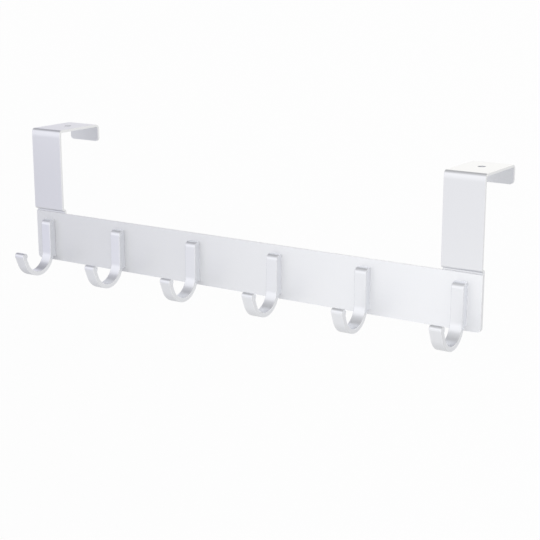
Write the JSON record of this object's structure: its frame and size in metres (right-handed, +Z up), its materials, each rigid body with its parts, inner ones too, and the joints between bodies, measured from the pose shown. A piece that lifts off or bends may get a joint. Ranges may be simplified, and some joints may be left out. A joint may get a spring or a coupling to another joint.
{
  "type": "over-the-door coat rack",
  "caption": "Flat metal rail with a row of J-shaped hooks with rounded noses, hung over the top of a door on two bent strip brackets.",
  "frame": {"origin": "midway between the two web holes, on the plane where the brackets' webs rest on the door's top edge", "axes": "+X along the rail to the right as seen from the front, +Y back over the door, +Z up"},
  "size_m": [0.4, 0.0849, 0.117],
  "materials": {
    "rail": "satin",
    "hooks": "satin",
    "brackets": "satin",
    "screws": "satin"
  },
  "bodies": {
    "root": {"rail": "rail", "hook_1": "hooks", "hook_2": "hooks", "hook_3": "hooks", "hook_4": "hooks", "hook_5": "hooks", "hook_6": "hooks", "left_bracket": "brackets", "right_bracket": "brackets", "hook_screws": "screws", "bracket_screws": "screws"}
  },
  "joints": []
}
